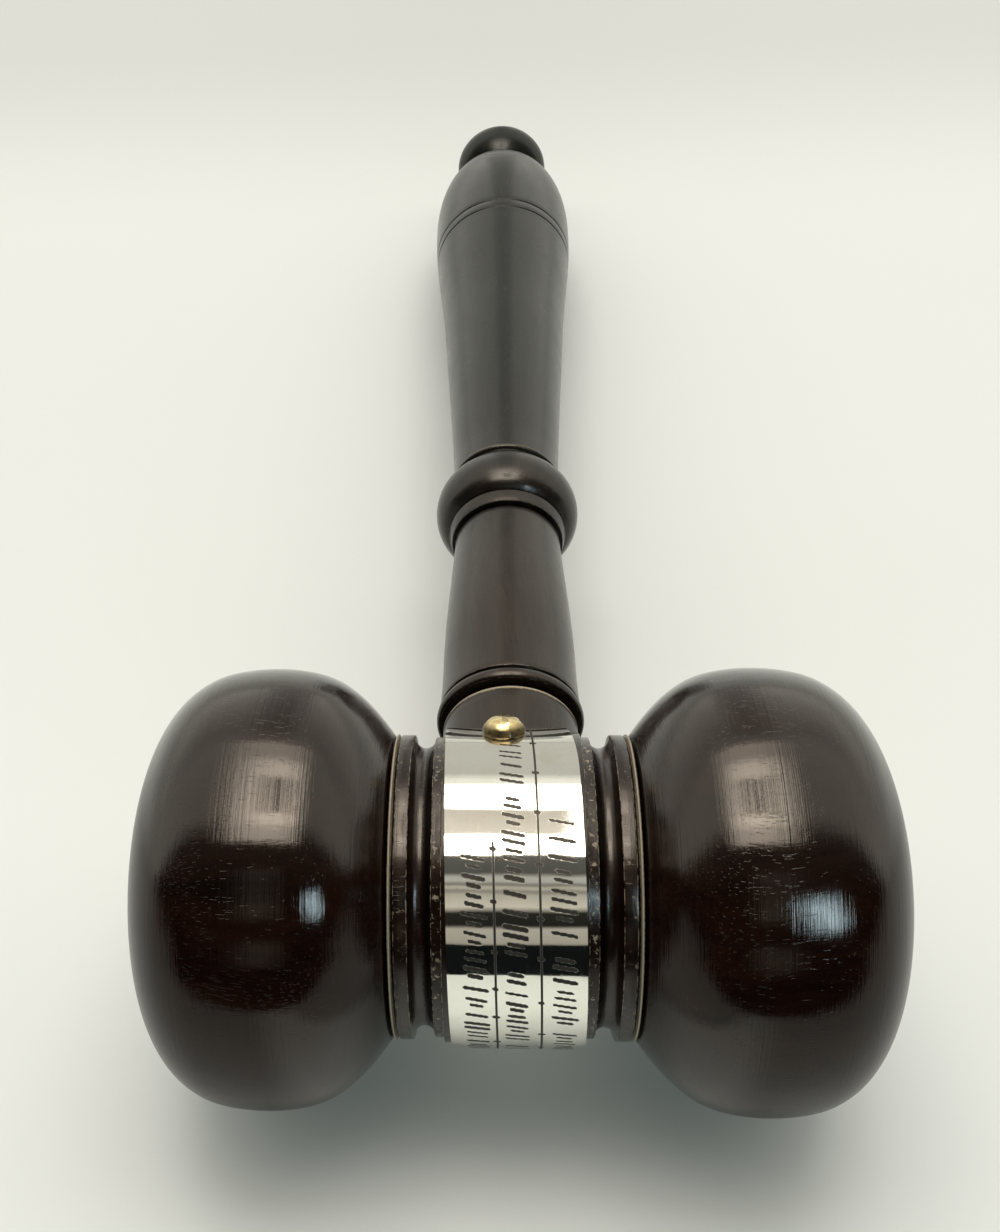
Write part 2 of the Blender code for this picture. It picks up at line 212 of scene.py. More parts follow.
def head_half(sizes):
    """Outline of half the head, from the barrel's middle to the striking end."""
    ring_radius = sizes.barrel_radius - 0.6 * MM
    collar_radius = ring_radius + 0.3 * MM
    foot_radius = collar_radius - 0.45 * MM
    groove_radius = foot_radius - 0.2 * MM
    bead_radius = collar_radius + 0.1 * MM
    slant = 0.05 * MM
    shoulder_fullness, end_fullness = 2.5, 2.75
    cove_steps, shoulder_steps, end_steps = 14, 40, 48
    along = sizes.barrel_width / 2
    points = [(along, sizes.barrel_radius), (along + slant, ring_radius)]
    along += sizes.ring_width
    for step in range(cove_steps + 1):
        turn = pi * step / cove_steps
        points.append((along + sizes.cove_width * (1 - cos(turn)) / 2,
                       ring_radius - sizes.cove_depth * sin(turn)))
    along += sizes.cove_width
    points.append((along + slant, collar_radius))
    line = along + sizes.collar_width
    foot = line + 0.4 * MM
    points += [(line - 0.45 * MM, collar_radius), (line - 0.3 * MM, groove_radius),
               (line - 0.1 * MM, groove_radius), (line, bead_radius),
               (line + 0.2 * MM, bead_radius), (foot, foot_radius)]
    crest = foot + sizes.lobe_shoulder

    def lobe(place):
        if place < crest:
            share = min(1.0, (crest - place) / sizes.lobe_shoulder)
            fall = (sizes.lobe_radius - foot_radius) * share ** shoulder_fullness
            return sizes.lobe_radius - fall
        share = min(1.0, (place - crest) / sizes.lobe_end)
        return sizes.lobe_radius * (1 - share ** end_fullness) ** (1 / end_fullness)

    for step in range(1, shoulder_steps):
        share = 1 - (step / shoulder_steps) ** 1.5
        points.append(eased(lobe, crest - sizes.lobe_shoulder * share, crest))
    for place, _ in full_curve(crest, sizes.lobe_end, sizes.lobe_radius, end_fullness, pi / 2,
                               end_steps):
        points.append(eased(lobe, place, crest))
    points[-1] = (crest + sizes.lobe_end, 0.0)
    return points


def groove(middle, width, depth, radius):
    """A fine round-bottomed groove."""
    return [(middle - width / 2, radius), (middle - width / 5, radius - depth * 0.8),
            (middle, radius - depth), (middle + width / 5, radius - depth * 0.8),
            (middle + width / 2, radius)]


def boss_and_shaft(sizes, barrel_radius):
    """The boss, the thin bead with its grooves, and the shaft up to the ring."""
    rim = barrel_radius + sizes.boss_height
    floor = sizes.boss_radius - 1.7 * MM
    points = [(rim - 2.2 * MM, sizes.boss_radius), (rim - 0.4 * MM, sizes.boss_radius),
              (rim - 0.1 * MM, sizes.boss_radius - 0.12 * MM), (rim, sizes.boss_radius - 0.4 * MM),
              (rim + 0.05 * MM, floor), (rim + 0.85 * MM, floor)]
    bead, bead_half, bead_rise = rim + 0.9 * MM, 1.0 * MM, 0.65 * MM
    points += oval(bead + bead_half, bead_half, 10.15 * MM, bead_rise, -0.97, 0.97, 12)
    end = bead + 2 * bead_half
    groove_radius, flare_length, flare_slope = 9.8 * MM, 9.0 * MM, -0.067
    points.append((end + 0.3 * MM, groove_radius))
    start = (end + 0.6 * MM, 10.4 * MM)
    flare = (start[0] + flare_length, 10.1 * MM)
    shaft_end = (flare[0] + sizes.shaft_length, 8.8 * MM)
    taper = (shaft_end[1] - flare[1]) / sizes.shaft_length
    points += smooth_run(start, flare, flare_slope, 0, 10)
    points += smooth_run(flare, shaft_end, 0, taper, 20)
    points.append(shaft_end)
    return points, shaft_end[0]


def ring(sizes, along):
    """The undercut, the fillet, the big bead, the groove behind it and the fine ridge."""
    undercut_radius, base_radius, groove_radius = 7.9 * MM, 9.2 * MM, 8.95 * MM
    groove_width, ridge_half = 2.55 * MM, 0.45 * MM
    fillet = along + 0.7 * MM
    points = [(along + 0.05 * MM, undercut_radius), (along + 0.65 * MM, undercut_radius),
              (fillet, 9.35 * MM), (fillet + 0.9 * MM, 9.5 * MM), (fillet + 2.2 * MM, 9.9 * MM),
              (fillet + 2.35 * MM, 9.45 * MM), (fillet + 2.75 * MM, 9.4 * MM)]
    bead = fillet + 2.9 * MM
    half = sizes.bead_length / 2
    points += oval(bead + half, half, base_radius, sizes.bead_radius - base_radius,
                   -0.975, 0.985, 32)
    back = bead + sizes.bead_length
    ridge = back + groove_width
    points += [(back, groove_radius), (ridge, groove_radius)]
    points += oval(ridge + 0.5 * MM, ridge_half, base_radius, ridge_half, -0.95, 0.95, 8)
    return points, ridge + 0.95 * MM


def grip_and_button(sizes, along):
    """The swelling grip with its two lines, its domed end, the neck and the button."""
    start = (along, 9.35 * MM)
    waist = (along + GRIP_WAIST, 9.4 * MM)
    middle = (waist[0] + sizes.grip_half, 12.0 * MM)
    swell = (middle[0] + sizes.grip_half, sizes.swell_radius)
    middle_slope = 0.055
    points = smooth_run(start, waist, 0, 0.02, 6)
    points += smooth_run(waist, middle, 0.045, middle_slope, 22)
    lines = [swell[0] - back for back in GRIP_LINES]
    line_width, line_depth = 0.6 * MM, 0.3 * MM

    def swelling(place):
        return smooth_radius(middle, swell, middle_slope, 0, place)

    for step in range(24):
        place = middle[0] + (swell[0] - middle[0]) * step / 24
        if min(abs(place - line) for line in lines) > line_width:
            points.append((place, swelling(place)))
    for line in lines:
        points += groove(line, line_width, line_depth, swelling(line))
    points.sort()
    neck_radius, neck_width, dome_fullness = 6.0 * MM, 1.8 * MM, 2.3
    neck_turn = pi / 2 - asin((neck_radius / sizes.swell_radius) ** (dome_fullness / 2))
    points += full_curve(swell[0], sizes.dome_length, sizes.swell_radius, dome_fullness,
                         neck_turn, 32)
    neck = points[-1][0] + neck_width
    half = sizes.button_length / 2
    first = asin(neck_radius / sizes.button_radius)
    middle_of_button = neck + half * cos(first)
    for step in range(33):
        turn = first + (pi - first) * step / 32
        points.append((middle_of_button - half * cos(turn), sizes.button_radius * sin(turn)))
    points[-1] = (points[-1][0], 0.0)
    return points


# Mesh tools

WELD = 0.002 * MM
SHARP_CORNER = radians(28)
# A turning is spun about Z, then laid along the head (X) or along the handle (Y)
ALONG_X = Matrix.Rotation(pi / 2, 4, 'Y')
ALONG_Y = Matrix.Rotation(-pi / 2, 4, 'X')


def turned(outline, facets, soften):
    """A closed turning about Z: an outline spun right round, its sharp corners softened."""
    bm = bmesh.new()
    verts = [bm.verts.new((radius, 0, along)) for along, radius in outline]
    edges = [bm.edges.new(pair) for pair in zip(verts, verts[1:])]
    bmesh.ops.spin(bm, geom=verts + edges, cent=(0, 0, 0), axis=(0, 0, 1), dvec=(0, 0, 0),
                   angle=2 * pi, steps=facets, use_merge=True, use_duplicate=False)
    bmesh.ops.remove_doubles(bm, verts=bm.verts, dist=WELD)
    bmesh.ops.recalc_face_normals(bm, faces=bm.faces)
    # Softened outer edges get a mask for pale wear, which also paints a highlight on them
    wear_and_highlight = bm.verts.layers.float.new("wear_and_highlight")
    for outward in (True, False):
        sharp = [edge for edge in bm.edges if len(edge.link_faces) == 2
                 and edge.is_convex == outward and edge.calc_face_angle() > SHARP_CORNER]
        softened = bmesh.ops.bevel(bm, geom=sharp, offset=soften, offset_type='OFFSET', segments=2,
                                   profile=0.5, affect='EDGES', clamp_overlap=True, material=-1)
        rounded = set(softened["faces"])
        if outward:
            for vert in {vert for face in rounded for vert in face.verts}:
                vert[wear_and_highlight] = float(all(face in rounded for face in vert.link_faces))
    return bm


def rest_on_surface(bm):
    """Cut off what lies below the surface and close the flats."""
    everything = bm.verts[:] + bm.edges[:] + bm.faces[:]
    bmesh.ops.bisect_plane(bm, geom=everything, dist=0.0001 * MM, plane_co=(0, 0, 0),
                           plane_no=(0, 0, 1), clear_inner=True)
    rims = [edge for edge in bm.edges if edge.is_boundary]
    bmesh.ops.holes_fill(bm, edges=rims, sides=0)


def finished(name, bm, finish, smooth_angle=40):
    """A smooth-shaded object at the origin, made from a bmesh."""
    mesh = bpy.data.meshes.new(name)
    bm.to_mesh(mesh)
    bm.free()
    mesh.materials.append(finish)
    for polygon in mesh.polygons:
        polygon.use_smooth = True
    mesh.set_sharp_from_angle(angle=radians(smooth_angle))
    made = bpy.data.objects.new(name, mesh)
    bpy.context.scene.collection.objects.link(made)
    return made


def carve(piece, bm_tool):
    """Take a tool's volume off a piece for good."""
    mesh = bpy.data.meshes.new("tool")
    bm_tool.to_mesh(mesh)
    bm_tool.free()
    tool = bpy.data.objects.new("tool", mesh)
    bpy.context.scene.collection.objects.link(tool)
    boolean = piece.modifiers.new("Seat", 'BOOLEAN')
    boolean.operation = 'DIFFERENCE'
    boolean.solver = 'EXACT'
    boolean.object = tool
    shaped = piece.evaluated_get(bpy.context.evaluated_depsgraph_get())
    old = piece.data
    piece.data = bpy.data.meshes.new_from_object(shaped)
    piece.modifiers.clear()
    piece.data.name = old.name
    bpy.data.objects.remove(tool, do_unlink=True)
    bpy.data.meshes.remove(mesh)
    bpy.data.meshes.remove(old)


# Shader tools

# The colour sockets of a Mix node, which come after those for numbers and vectors
MIX_INPUTS = (0, 6, 7)
MIX_OUTPUT = 2
# The sockets of node groups that are vectors; the others are numbers
VECTOR_SOCKETS = ("Object", "Point")


class Wiring:
    """Adds nodes to a tree and links them as they are made."""

    def __init__(self, tree):
        self.tree = tree

    def feed(self, socket, value):
        """Put a value or a link into a socket."""
        if isinstance(value, bpy.types.NodeSocket):
            self.tree.links.new(value, socket)
        elif value is not None:
            socket.default_value = value

    def wire(self, made, **wires):
        """Give a node's sockets values or links; an underscore stands for a space."""
        for key, value in wires.items():
            self.feed(made.inputs[key.replace("_", " ")], value)
        return made

    def node(self, kind, settings=None, **wires):
        """A node with its properties set and its sockets given values or links."""
        made = self.tree.nodes.new(kind)
        for key, value in (settings or {}).items():
            setattr(made, key, value)
        return self.wire(made, **wires)

    def group(self, tree, **wires):
        """An instance of a node group."""
        return self.node("ShaderNodeGroup", {"node_tree": tree}, **wires)

    def math(self, operation, a, b=None, clamp=False):
        """The result of a Math node."""
        made = self.node("ShaderNodeMath", {"operation": operation, "use_clamp": clamp})
        for socket, value in zip(made.inputs, (a, b)):
            self.feed(socket, value)
        return made.outputs[0]

    def plus(self, a, b, clamp=False):
        """The sum of two values."""
        return self.math('ADD', a, b, clamp)

    def minus(self, a, b, clamp=False):
        """The first value less the second."""
        return self.math('SUBTRACT', a, b, clamp)

    def times(self, a, b):
        """The product of two values."""
        return self.math('MULTIPLY', a, b)

    def vector(self, operation, a, b):
        """The result of a Vector Math node."""
        made = self.node("ShaderNodeVectorMath", {"operation": operation})
        for socket, value in zip(made.inputs, (a, b)):
            self.feed(socket, value)
        return made.outputs[0]

    def stretched(self, vector, factors):
        """A vector with each part multiplied."""
        return self.vector('MULTIPLY', vector, factors)

    def parts(self, vector):
        """The three parts of a vector."""
        return self.node("ShaderNodeSeparateXYZ", Vector=vector).outputs

    def mix(self, factor, a, b):
        """A blend of two colours."""
        made = self.node("ShaderNodeMix", {"data_type": 'RGBA'})
        for index, value in zip(MIX_INPUTS, (factor, a, b)):
            self.feed(made.inputs[index], value)
        return made.outputs[MIX_OUTPUT]

    def fit(self, value, low, high, new_low=0.0, new_high=1.0, smooth=False):
        """A value moved from one range to another and held inside it."""
        kind = 'SMOOTHSTEP' if smooth else 'LINEAR'
        return self.node("ShaderNodeMapRange", {"interpolation_type": kind}, Value=value,
                         From_Min=low, From_Max=high, To_Min=new_low, To_Max=new_high).outputs[0]

    def noise(self, vector, scale, detail=2.0, rough=0.5, distortion=0.0):
        """The value of a Noise Texture."""
        return self.node("ShaderNodeTexNoise", Vector=vector, Scale=scale, Detail=detail,
                         Roughness=rough, Distortion=distortion).outputs[0]

    def attribute(self, name):
        """The value of a named attribute of the mesh."""
        return self.node("ShaderNodeAttribute", {"attribute_name": name}).outputs["Fac"]

    def bump(self, height):
        """Normals for a height in millimetres."""
        return self.node("ShaderNodeBump", Strength=1.0, Distance=MM, Height=height).outputs[0]


def new_group(name, inputs, outputs):
    """An empty shader node group with its sockets, its wiring and its two end nodes."""
    tree = bpy.data.node_groups.new(name, 'ShaderNodeTree')
    for way, labels in (('INPUT', inputs), ('OUTPUT', outputs)):
        for label in labels:
            kind = 'NodeSocketVector' if label in VECTOR_SOCKETS else 'NodeSocketFloat'
            tree.interface.new_socket(label, in_out=way, socket_type=kind)
    return tree, Wiring(tree), tree.nodes.new('NodeGroupInput'), tree.nodes.new('NodeGroupOutput')


def piece_space_group(matrix):
    """Coordinates along the gavel itself: X along the head, Y along the handle, in millimetres."""
    tree, wiring, given, result = new_group("Gavel coordinates", ("Object",),
                                            ("Point", "Along Head", "Along Handle"))
    placed = wiring.node("ShaderNodeMapping", {"vector_type": 'TEXTURE'},
                         Vector=given.outputs["Object"], Location=matrix.to_translation(),
                         Rotation=matrix.to_euler())
    sized = wiring.stretched(placed.outputs[0], (1 / MM, 1 / MM, 1 / MM))
    parts = wiring.parts(sized)
    wiring.wire(result, Point=sized, Along_Head=parts[0], Along_Handle=parts[1])
    return tree


def turned_wood_group():
    """Grain, pores and lathe marks of a turning whose axis is X, in millimetres."""
    tree, wiring, given, result = new_group("Turned wood", ("Point", "Pore Amount"),
                                            ("Grain", "Pores", "Marks", "Scratches"))
    point = given.outputs["Point"]
    bend = wiring.noise(point, 0.03)
    sway = wiring.node("ShaderNodeCombineXYZ", Y=bend, Z=bend).outputs[0]
    bent = wiring.vector('ADD', point, wiring.stretched(sway, (0, 9, 7)))
    broad = wiring.noise(wiring.stretched(bent, (0.022, 0.30, 0.30)), 1.0, detail=4.0, rough=0.6,
                         distortion=0.4)
    fine = wiring.noise(wiring.stretched(bent, (0.10, 2.4, 2.4)), 1.0, detail=5.0, rough=0.65)
    grain = wiring.plus(wiring.times(broad, 0.62), wiring.times(fine, 0.38))
    pore = wiring.noise(wiring.stretched(bent, (0.42, 5.5, 5.5)), 1.0, detail=1.0)
    bar = wiring.fit(wiring.noise(point, 0.12, detail=1.0), 0.3, 0.7, 0.74, 0.62)
    pores = wiring.fit(wiring.minus(pore, bar), 0.0, 0.05)
    rings = wiring.node("ShaderNodeTexNoise", {"noise_dimensions": '1D'},
                        W=wiring.times(wiring.parts(point)[0], 2.4), Scale=1.0, Detail=4.0,
                        Roughness=0.75)
    uneven = wiring.noise(wiring.stretched(point, (2.2, 0.5, 0.5)), 1.0)
    marks = wiring.plus(wiring.times(rings.outputs[0], 0.6), wiring.times(uneven, 0.4))
    hair = wiring.noise(wiring.stretched(point, (0.28, 5.5, 5.5)), 1.0, detail=0.0)
    place = wiring.noise(wiring.vector('ADD', point, (40, 11, 7)), 0.11)
    scratches = wiring.times(wiring.fit(hair, 0.80, 0.84), wiring.fit(place, 0.66, 0.70))
    wiring.wire(result, Grain=wiring.fit(grain, 0.36, 0.64), Marks=marks, Scratches=scratches,
                Pores=wiring.times(pores, given.outputs["Pore Amount"]))
    return tree


def turned_line_group():
    """A line round a turning, broken by small gaps: 1 on the line, 0 off it."""
    tree, wiring, given, result = new_group(
        "Turned line", ("Point", "Along", "Place", "Width", "Breaks"), ("Mask",))
    point, along, place, width, breaks = list(given.outputs)[:5]
    distance = wiring.math('ABSOLUTE', wiring.minus(along, place))
    ragged = wiring.noise(point, 2.2, detail=3.0, rough=0.7)
    reach = wiring.times(width, wiring.fit(ragged, 0.3, 0.7, 0.7, 1.3))
    line = wiring.minus(1.0, wiring.math('DIVIDE', distance, reach), clamp=True)
    chips = wiring.noise(point, 1.3, detail=3.0, rough=0.6)
    keep = wiring.fit(wiring.minus(chips, breaks), -0.02, 0.05)
    wiring.wire(result, Mask=wiring.times(wiring.math('POWER', line, 0.5), keep))
    return tree


def new_material(name):
    """A material with only its output and its Principled shader, and wiring for it."""
    made = bpy.data.materials.new(name)
    made.use_nodes = True
    made.node_tree.nodes.clear()
    wiring = Wiring(made.node_tree)
    shader = wiring.node("ShaderNodeBsdfPrincipled")
    wiring.node("ShaderNodeOutputMaterial", Surface=shader.outputs[0])
    return made, wiring, shader


def colour4(colour):
    """A linear colour with full alpha."""
    return (*colour, 1.0)


def object_point(wiring, tools):
    """The outputs of the gavel's own coordinates in a material."""
    source = wiring.node("ShaderNodeTexCoord").outputs["Object"]
    return wiring.group(tools["space"], Object=source).outputs


def line_masks(wiring, tools, point, along, lines):
    """The strongest of several turned lines, each (place, width, breaks, strength)."""
    strongest = 0.0
    for place, width, breaks, strength in lines:
        line = wiring.group(tools["line"], Point=point, Along=along, Place=place, Width=width,
                            Breaks=breaks)
        strongest = wiring.math('MAXIMUM', strongest, wiring.times(line.outputs[0], strength))
    return strongest


# Distances along the head or the handle, in millimetres, over which a look sets in
FAR_WOOD = (50.0, 115.0)
EDGES_FADE = (60.0, 110.0)
LOBES_START = (15.0, 17.0)
BUTTON_START = (198.0, 206.0)

PORE_BLACK = (0.002, 0.0015, 0.001, 1)
SCRATCH_BROWN = (0.12, 0.08, 0.055, 1)
# Painted shade in the grooves and recesses of the wood
GROOVE_SHADE = (0.001, 0.0008, 0.0006, 1)
WARM_SHINE = (1.0, 0.91, 0.80, 1)
COOL_SHINE = (0.98, 1.0, 0.94, 1)
DULL_SILVER = (0.80, 0.74, 0.62, 1)
SILVER_SPECK = (0.25, 0.22, 0.18, 1)
DULL_BRASS = (0.62, 0.47, 0.21, 1)
# Soiling with painted shade round the brass pins' rims
PIN_RIM_SOIL_AND_SHADE = (0.03, 0.018, 0.008, 1)


def hardwood(name, tools, axis, near, far, wear_highlight_colour, pale_lines, shade_lines, gloss):
    """Polished or satin hardwood with grain, pores and lathe marks, pale wear with a painted
    highlight on edges and lines, and painted shade in the grooves.
    """
    made, wiring, shader = new_material(name)
    space = object_point(wiring, tools)
    point = space["Point"]
    if axis == 'HEAD':
        along = wiring.math('ABSOLUTE', space["Along Head"])
        oriented = point
    else:
        along = space["Along Handle"]
        parts = wiring.parts(point)
        turned_round = wiring.node("ShaderNodeCombineXYZ", X=parts[1], Y=parts[0], Z=parts[2])
        oriented = turned_round.outputs[0]
    wood = wiring.group(tools["wood"], Point=oriented, Pore_Amount=gloss["pores"])
    grain, pores, marks, scratches = list(wood.outputs)[:4]
    distance = wiring.fit(along, *FAR_WOOD, smooth=True)
    dark, light = (wiring.mix(distance, colour4(a), colour4(b)) for a, b in zip(near, far))
    groove_shade = line_masks(wiring, tools, point, along, shade_lines)
    patchy = wiring.fit(wiring.noise(point, 0.9, detail=4.0, rough=0.65), 0.46, 0.60)
    # Pale wear on edges and lines, also a painted highlight
    edge = wiring.times(wiring.times(wiring.attribute("wear_and_highlight"), patchy),
                        wiring.fit(along, *EDGES_FADE, gloss["edges"], 0.0))
    wear_and_highlight = wiring.math('MAXIMUM', edge, line_masks(wiring, tools, point, along, pale_lines))
    base = wiring.mix(grain, dark, light)
    # Pores, scratches, painted shade in the grooves, and pale wear with a painted highlight
    for mask, colour in ((wiring.times(pores, 0.85), PORE_BLACK),
                         (wiring.times(scratches, gloss["scratches"]), SCRATCH_BROWN),
                         (groove_shade, GROOVE_SHADE), (wear_and_highlight, colour4(wear_highlight_colour))):
        base = wiring.mix(mask, base, colour)
    smear = wiring.noise(point, 0.16, detail=3.0, rough=0.6)
    rough = wiring.plus(wiring.fit(smear, 0.3, 0.7, gloss["low"], gloss["high"]),
                        wiring.times(marks, gloss["brushed"]))
    rough = wiring.plus(rough, wiring.times(wear_and_highlight, 0.2))
    if axis == 'HEAD':
        rough = wiring.plus(rough, wiring.fit(along, *LOBES_START, 0.16, 0.0))
    height = wiring.plus(wiring.times(marks, gloss["marks"]), wiring.times(grain, gloss["grain"]))
    for pit in (pores, scratches):
        height = wiring.minus(height, wiring.times(pit, gloss["pits"]))
    normal = wiring.bump(height)
    polish = wiring.fit(along, *BUTTON_START, gloss["coat"], gloss["coat"] - 0.1)
    wiring.wire(shader, Base_Color=base, Roughness=rough, Normal=normal, IOR=gloss["ior"],
                Specular_IOR_Level=wiring.minus(0.5, wiring.times(groove_shade, 0.5)),
                Specular_Tint=wiring.mix(distance, WARM_SHINE, COOL_SHINE),
                Coat_Weight=wiring.minus(polish, groove_shade, clamp=True),
                Coat_Roughness=gloss["coat_rough"], Coat_Normal=normal)
    return made


def silver(tools, colours):
    """Bright silver with fine rubbing scratches and dark strokes."""
    made, wiring, shader = new_material("engraved_silver")
    point = object_point(wiring, tools)["Point"]
    ink = wiring.fit(wiring.attribute("engraving"), 0.005, 0.12)
    cloud = wiring.noise(point, 0.35, detail=3.0, rough=0.6)
    speck = wiring.noise(point, 5.0)
    base = colour4(colours.silver)
    for mask, colour in ((wiring.fit(cloud, 0.45, 0.75, 0.0, 0.35), DULL_SILVER),
                         (wiring.fit(speck, 0.72, 0.76, 0.0, 0.6), SILVER_SPECK),
                         (ink, colour4(colours.tarnish))):
        base = wiring.mix(mask, base, colour)
    hair = wiring.noise(wiring.stretched(point, (7.0, 0.4, 0.4)), 1.0, detail=3.0, rough=0.7)
    rough = wiring.plus(wiring.fit(cloud, 0.3, 0.7, 0.03, 0.06),
                        wiring.fit(hair, 0.55, 0.75, 0.0, 0.05))
    swell = wiring.times(wiring.noise(point, 0.16, detail=1.0), 0.05)
    wiring.wire(shader, Base_Color=base, Metallic=wiring.fit(ink, 0.0, 1.0, 1.0, 0.5),
                Roughness=wiring.plus(rough, wiring.times(ink, 0.45), clamp=True),
                Normal=wiring.bump(wiring.plus(swell, wiring.times(hair, 0.0012))))
    return made


def brass(tools, colours):
    """Rubbed brass with small dents, and soiling and painted shade darkening its rim."""
    made, wiring, shader = new_material("worn_brass")
    point = object_point(wiring, tools)["Point"]
    cloud = wiring.noise(point, 1.4, detail=4.0, rough=0.6)
    base = wiring.mix(wiring.fit(cloud, 0.35, 0.7), colour4(colours.brass), DULL_BRASS)
    # Painted shade and soiling round the pin's rim
    rim_soil_and_shade = wiring.times(wiring.attribute("pin_soil_and_shade"), wiring.fit(cloud, 0.25, 0.6, 1.0, 0.8))
    rough = wiring.fit(cloud, 0.3, 0.7, 0.08, 0.18)
    dents = wiring.times(wiring.noise(point, 0.9, detail=1.0), 0.12)
    fine = wiring.times(wiring.noise(point, 6.0), 0.012)
    wiring.wire(shader, Base_Color=wiring.mix(rim_soil_and_shade, base, PIN_RIM_SOIL_AND_SHADE), Metallic=1.0,
                Roughness=wiring.plus(rough, wiring.times(rim_soil_and_shade, 0.3), clamp=True),
                Normal=wiring.bump(wiring.plus(dents, fine)))
    return made


def shader_tools():
    """The shared node groups, made once."""
    tools = {}
    for key, name, build in (("space", "Gavel coordinates", lambda: piece_space_group(lying())),
                             ("wood", "Turned wood", turned_wood_group),
                             ("line", "Turned line", turned_line_group)):
        tools[key] = bpy.data.node_groups.get(name) or build()
    return tools


# How each wood takes the light: roughness from low to high and what the lathe's brushing adds,
# relief in millimetres, shares of pores, scratches and edges of pale wear with a painted highlight,
# and the polish over it
HEAD_GLOSS = {"pores": 0.5, "scratches": 0.6, "low": 0.05, "high": 0.09, "brushed": 0.06,
              "marks": 0.038, "grain": 0.005, "pits": 0.02, "ior": 1.40, "coat": 0.36,
              "coat_rough": 0.04, "edges": 0.8}
HANDLE_GLOSS = {"pores": 0.8, "scratches": 0.1, "low": 0.22, "high": 0.29, "brushed": 0.10,
                "marks": 0.020, "grain": 0.006, "pits": 0.02, "ior": 1.41, "coat": 0.25,
                "coat_rough": 0.07, "edges": 0.25}


# The engraving

STROKE_LEAN = 0.5 * MM
STROKE_PITCH = 2.2 * MM
WORD_GAP = 1.6 * MM
# Each mark's strokes as (millimetres along the row, share of the row's height). They are parallel
# and apart, so none of them makes a letter or a figure.
MARKS = (((-0.5, 1.0), (0.5, 1.0)), ((-0.55, 1.0), (0.4, 0.55)), ((0.0, 1.0),),
         ((-0.6, 0.6), (0.4, 0.8)))
# Rows as (across, height, first angle, last angle), ruled lines as (across, first angle)
ROWS = ((-4.9 * MM, 2.7 * MM, radians(120), radians(262)),
        (-0.1 * MM, 2.6 * MM, radians(64), radians(296)),
        (5.6 * MM, 2.8 * MM, radians(106), radians(284)))
RULED_LINES = ((-2.6 * MM, radians(113)), (2.8 * MM, radians(50)))
THIN_STROKES_END = radians(80)
# A stroke's outer rim and the run of its wall, as shares of its half width
STROKE_RIM = 1.25
STROKE_WALL = 0.8


def slanted(along, across, tall, lean):
    """One straight stroke through a place, leaning along the row."""
    return (along - lean / 2, across - tall / 2, along + lean / 2, across + tall / 2)


def engraved_strokes(arc_length, turn_to_arc):
    """Every engraved stroke as (along, across, along, across, half width)."""
    chance = random.Random(28)
    strokes = []
    for across, tall, first, last in ROWS:
        along = turn_to_arc(first)
        since_gap = 0
        while along < turn_to_arc(last):
            thin = along < turn_to_arc(THIN_STROKES_END)
            half_width = (0.10 if thin else chance.uniform(0.11, 0.22)) * MM
            offsets = MARKS[chance.randrange(len(MARKS))]
            height = tall * chance.uniform(0.8, 1.05)
            for offset, share in offsets:
                strokes.append((*slanted(along + offset * MM, across, height * share,
                                         STROKE_LEAN * share), half_width))
            since_gap += 1
            along += STROKE_PITCH
            if since_gap >= 5 and chance.random() < 0.3:
                along += WORD_GAP
                since_gap = 0
    for across, first in RULED_LINES:
        along = turn_to_arc(first)
        strokes.append((along, across, arc_length - 1.2 * MM, across, 0.07 * MM))
        along += 0.8 * MM
        while along < arc_length - 3.0 * MM:
            size = chance.uniform(0.12, 0.3) * MM
            strokes.append((along, across - size, along + 0.02 * MM, across + size, 0.16 * MM))
            along += chance.uniform(4.5, 6.5) * MM
    return strokes


def bucketed(strokes, arc_length, cell):
    """The strokes listed by the stretches of the plate that they touch."""
    count = int(arc_length / cell) + 2
    buckets = [[] for _ in range(count)]
    for stroke in strokes:
        low = min(stroke[0], stroke[2]) - 2 * stroke[4]
        high = max(stroke[0], stroke[2]) + 2 * stroke[4]
        for index in range(max(0, int(low / cell)), min(count - 1, int(high / cell)) + 1):
            buckets[index].append(stroke)
    return buckets


def carved_share(along, across, strokes):
    """How deeply the plate is carved at a place, from 0 to 1."""
    deepest = 0.0
    for a0, c0, a1, c1, half in strokes:
        run, rise = a1 - a0, c1 - c0
        size = run * run + rise * rise
        part = max(0.0, min(1.0, ((along - a0) * run + (across - c0) * rise) / size))
        away = hypot(along - a0 - part * run, across - c0 - part * rise)
        share = (STROKE_RIM * half - away) / (STROKE_WALL * half)
        deepest = max(deepest, min(1.0, share))
    return max(0.0, deepest)


# Where the skewed plate lies in its true place, how far it may wander, and its taper's reach
UNMOVED_TURN = radians(115)
WIDEST_WANDER = 0.45 * MM
TAPER_REACH = radians(38)


